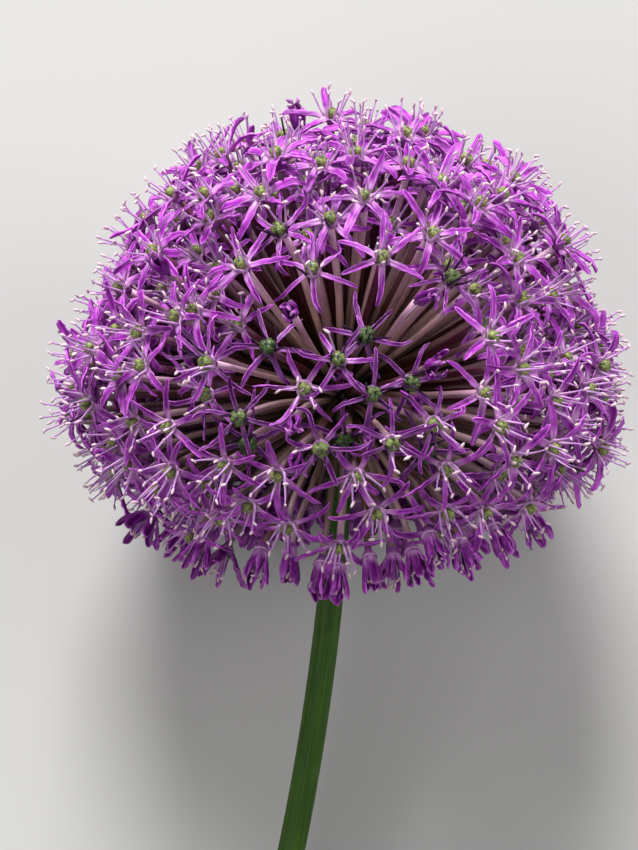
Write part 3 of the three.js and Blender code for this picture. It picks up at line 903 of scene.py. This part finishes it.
# Six filaments in a floret, each with a split anther at its end until it withers, and the style.
def makeStamens():
    stamen = {
        "length": (4.7, 6.3), "rise": (54, 88), "inward": (-16, 18), "foot": 1.3, "footRadius": 0.34,
        "tipRadius": 0.13, "dryRadius": 0.18, "dryFoot": 1.5, "steps": 5, "sides": 5, "sway": 14,
        "spread": 8,
        "pressedRise": (8, 20),    # in florets that the head lies on
        "bellFoot": 0.6,           # in bells, where they stay inside
        "bellRise": 88.0, "bellShare": 0.85,    # and how close they come to that rise
        "witherAge": (0.3, 0.95),  # between which they wither, and the share that then falls off
        "fallen": 0.3,
        "anther": (1.25, 1.65), "antherRadius": 0.3, "antherTilt": 0.8, "antherShift": (0.0, 0.6),
        "groove": [1.0, 0.95, 0.75, 1.0, 0.95, 0.75],
        "style": (1.6, 3.6), "styleRadius": (0.16, 0.09), "styleLean": 0.5,
        "styleFoot": 1.7, "styleDries": (0.3, 0.8),
        "pressedStyle": 0.9,
    }
    filaments, anthers = newStock(), newStock()
    s = np.linspace(0, 1, stamen["steps"])
    ends = np.linspace(-1, 1, 5)
    for number, floret in enumerate(florets):
        draw = np.random.default_rng(seeds["stamens"] + number)
        age = floret["age"]
        if floret["kind"] == "wilted":
            continue
        for i in range(6):
            fresh = draw.uniform() > smooth(*stamen["witherAge"], age)
            length = draw.uniform(*stamen["length"])
            rise = draw.uniform(*stamen["rise"])
            foot = stamen["foot"]
            if floret["kind"] == "bell":
                rise = blend(rise, stamen["bellRise"], stamen["bellShare"])
                foot = stamen["bellFoot"]
            rise = blend(rise, draw.uniform(*stamen["pressedRise"]), floret["press"])
            curl = draw.uniform(*stamen["inward"])
            if not fresh and draw.uniform() < stamen["fallen"]:
                continue
            pitch = np.radians(rise + curl * s)
            yaw = np.radians(draw.uniform(-stamen["sway"], stamen["sway"]) * s)
            ahead = heading(pitch, yaw)
            line = np.concatenate([np.zeros((1, 3)), np.cumsum((ahead[1:] + ahead[:-1]) / 2, axis=0)])
            line = line * length / (stamen["steps"] - 1) + np.array([foot, 0.0, 0.1])
            line = spun(line, tepal["apart"] * i + draw.uniform(-stamen["spread"], stamen["spread"]))
            tip = stamen["tipRadius"] if fresh else stamen["dryRadius"]
            thick = stamen["footRadius"] if fresh else stamen["dryRadius"] * stamen["dryFoot"]
            radii = blend(thick, tip, s ** 0.6)
            world = inWorld(floret, line)
            addRings(filaments, tubeRings(world, radii, stamen["sides"]), along=s[:, None],
                     age=0.0 if fresh else 1.0)
            if fresh:
                size = draw.uniform(*stamen["anther"]) / 2
                ahead = unit(unit(world[-1] - world[-2]) + draw.normal(0, stamen["antherTilt"], 3))
                middle = world[-1] + ahead * size * draw.uniform(*stamen["antherShift"])
                spine = middle + ends[:, None] * ahead * size
                plump = stamen["antherRadius"] * np.sqrt(np.clip(1.02 - ends ** 2, 0.02, 1))
                groove = np.array(stamen["groove"])
                rings = tubeRings(spine, plump, len(groove))
                rings = spine[:, None, :] + (rings - spine[:, None, :]) * groove[None, :, None]
                addRings(anthers, rings)
        length = blend(*stamen["style"], draw.uniform())
        if floret["lies"]:
            length = stamen["pressedStyle"]
        lean = draw.normal(0, stamen["styleLean"], 2)
        line = np.stack([lean[0] * s ** 2, lean[1] * s ** 2, stamen["styleFoot"] + length * s], axis=1)
        rings = tubeRings(inWorld(floret, line), blend(*stamen["styleRadius"], s), stamen["sides"])
        addRings(filaments, rings, along=s[:, None], age=smooth(*stamen["styleDries"], age))
    makePiece("filaments", filaments, filamentTissue(), "umbel")
    makePiece("anthers", anthers, pollenSacs(), "umbel")


# The stalks, each a little bowed, from the knob to the cup.
def makeStalks(skin):
    stalk = {
        "steps": 8, "sides": 7, "radius": (0.52, 0.74), "rootRadius": 0.46, "rootLength": 0.4,
        "neck": 0.7,         # its radius at the cup
        "root": 4.6,         # from the head's centre, inside the knob
        "end": -1.6,         # below the floret's base, inside its cup
        "bow": 0.9, "neckBend": 5.0,
        "paintedLightRight": 0.15,    # painted light: how much paler they are on the right of the head
        "lowFrom": (0.2, -0.4),    # parts of their direction that point up the head, across which the painted shade of the lower half comes in
    }
    stock = newStock()
    s = np.linspace(0, 1, stalk["steps"])
    for number, floret in enumerate(florets):
        draw = np.random.default_rng(seeds["stalks"] + number)
        rootPlace = headCentre + floret["direction"] * stalk["root"]
        neckPlace = inWorld(floret, np.array([0.0, 0.0, stalk["end"]]))
        bowing = draw.normal(0, stalk["bow"], 3)
        straight = rootPlace + s[:, None] * (neckPlace - rootPlace)
        line = straight + bowing * (np.sin(math.pi * s) ** 1.5 * s)[:, None]
        turned = unit(neckPlace - rootPlace) - floret["frame"][2]    # it bends to meet the floret's axis
        line += turned * stalk["neckBend"] * (4 * s ** 4 * (1 - s))[:, None]
        radius = draw.uniform(*stalk["radius"])
        radii = blend(stalk["rootRadius"], radius, smooth(0, stalk["rootLength"], s))
        radii += (stalk["neck"] - radius) * s ** 12
        around = np.linspace(0, 1, stalk["sides"], endpoint=False)
        # painted light: stalks on the right of the head get a paler tone
        tone = draw.uniform() + stalk["paintedLightRight"] * (floret["direction"] @ headSide)
        shadeLowness = smooth(*stalk["lowFrom"], floret["direction"] @ headAxis)
        addRings(stock, tubeRings(line, radii, stalk["sides"]), along=s[:, None],
                 across=np.abs(2 * around - 1)[None, :], tone=np.clip(tone, 0, 1), age=shadeLowness)
    makePiece("stalks", stock, skin, "umbel")


# The knob at the top of the stem, a little swollen where each stalk leaves it and flat below.
def makeKnob(skin):
    knob = {
        "radius": 6.3, "rings": 40, "sides": 60, "flat": 5.0, "swell": 0.25, "swellWidth": 4.0,
        "pole": 0.02,
        "along": 0.15, "across": 0.4, "tone": 0.5,    # it has the colour of a stalk there
    }
    stock = newStock()
    polar = np.linspace(math.pi - knob["pole"], knob["pole"], knob["rings"])
    turn = np.linspace(0, 2 * math.pi, knob["sides"], endpoint=False)
    rings = []
    directions = np.array([floret["direction"] for floret in florets])
    for p in polar:
        ring = []
        for t in turn:
            level = math.cos(t) * headSide + math.sin(t) * headFront
            outward = math.cos(p) * headAxis + math.sin(p) * level
            nearest = np.degrees(np.arccos(np.clip(directions @ outward, -1, 1))).min()
            radius = knob["radius"] + knob["swell"] * math.exp(-(nearest / knob["swellWidth"]) ** 2)
            under = outward @ headAxis
            if under < 0:
                radius = min(radius, knob["flat"] / max(-under, 0.01))
            ring.append(headCentre + outward * radius)
        rings.append(ring)
    addRings(stock, np.array(rings), along=knob["along"], across=knob["across"], tone=knob["tone"])
    makePiece("knob", stock, skin, "umbel")


# The stem: a round rod with faint ribs that swells into the knob, bent to one side, with its cut end.
def stemLine(along):
    bend = head["stemCurve"] * (along - head["stemTop"]) ** 2
    return headCentre - headAxis * along[:, None] - headSide * bend[:, None]


def makeStem():
    stem = {
        "steps": 90, "sides": 48, "topRadius": 2.5, "collar": 3.7, "collarLength": 3.2,
        "ribs": 13, "rib": 0.05, "rindGap": 0.08, "lowest": 0.03,
        # the cut, from its rim to its middle: shares of the radius, and mm that it stands out
        "cutShares": [0.985, 0.97, 0.9, 0.7, 0.45, 0.2, 0.05],
        "cutLifts": [-0.25, 0.01, 0.03, 0.0, 0.06, 0.03, 0.05],
        "cutLowest": 0.04,
    }
    stock = newStock()
    share = np.linspace(0, 1, stem["steps"])
    along = blend(head["stemTop"], head["stemLength"], share)
    line = stemLine(along)
    radii = blend(stem["topRadius"], head["stemCutRadius"] - stem["rindGap"], share)
    swell = np.exp(-(along - head["stemTop"]) / stem["collarLength"])
    radii = radii + (stem["collar"] - stem["topRadius"]) * swell
    rings = tubeRings(line, radii, stem["sides"], down)
    around = np.linspace(0, 2 * math.pi, stem["sides"], endpoint=False)
    ribbing = 1 - stem["rib"] * 0.5 * (1 - np.cos(stem["ribs"] * around)) / 2
    rings = line[:, None, :] + (rings - line[:, None, :]) * ribbing[None, :, None]
    rings[..., 2] = np.maximum(rings[..., 2], stem["lowest"])
    addRings(stock, rings, along=share[:, None], across=around[None, :] / (2 * math.pi))
    makePiece("stemRod", stock, stemRind(), "stem")

    pith = newStock()
    cutPlace = line[-1]
    outward = unit(line[-1] - line[-2])
    rim = rings[-1] - cutPlace
    shares, lifts = np.array(stem["cutShares"]), np.array(stem["cutLifts"])
    disc = cutPlace + rim[None, :, :] * shares[:, None, None] + outward * lifts[:, None, None]
    disc[..., 2] = np.maximum(disc[..., 2], stem["cutLowest"])
    addRings(pith, disc, across=shares[:, None])
    makePiece("stemPith", pith, cutPith(), "stem")


petals = petalTissue()
makeTepals(petals)
makeCups(petals)
makeOvaries()
makeStamens()
skin = stalkSkin()
makeStalks(skin)
makeKnob(skin)
makeStem()


def makeFloor():
    mesh = bpy.data.meshes.new("floor")
    half = 4.0    # m
    corners = [(-half, -half, 0), (half, -half, 0), (half, half, 0), (-half, half, 0)]
    mesh.from_pydata(corners, [], [(0, 1, 2, 3)])
    mesh.materials.append(mattBoard())
    floor = bpy.data.objects.new("floor", mesh)
    scene.collection.objects.link(floor)


# A square lamp that faces the head. Its direction is given by how far it is to the right in the
# photo's view, up there, and towards the viewer.
def addLamp(name, direction, distance, size, power):
    data = bpy.data.lights.new(name, "AREA")
    data.size = size
    data.energy = power
    lamp = bpy.data.objects.new(name, data)
    scene.collection.objects.link(lamp)
    back = unit(imageRight * direction[0] + imageUp * direction[1] + toCamera * direction[2])
    side = unit(np.cross(imageRight, back))
    lamp.matrix_world = placing(np.cross(side, back), side, back, headCentre * mm + back * distance)


# Soft studio light, mostly from the top of the head and a little to the front, as in the photo.
studio = {
    "lamps": {    # direction, distance and size in m, power in W
        "mainLamp": ((-0.12, 0.88, 0.42), 1.9, 0.75, 72.0),
        "sideLamp": ((0.85, 0.2, 0.5), 1.6, 0.9, 12.0),
        "fillLamp": ((-0.45, -0.15, 0.85), 1.5, 1.0, 9.0),
    },
    "room": 0.18,
    "walls": "#eef0f2",
}


def makeStudio():
    makeFloor()
    for name, values in studio["lamps"].items():
        addLamp(name, *values)
    world = bpy.data.worlds.new("studio")
    world.use_nodes = True
    background = world.node_tree.nodes["Background"]
    background.inputs["Color"].default_value = toLinear(studio["walls"])
    background.inputs["Strength"].default_value = studio["room"]
    scene.world = world
    scene.view_settings.view_transform = "Standard"


makeStudio()
print("studio lit")
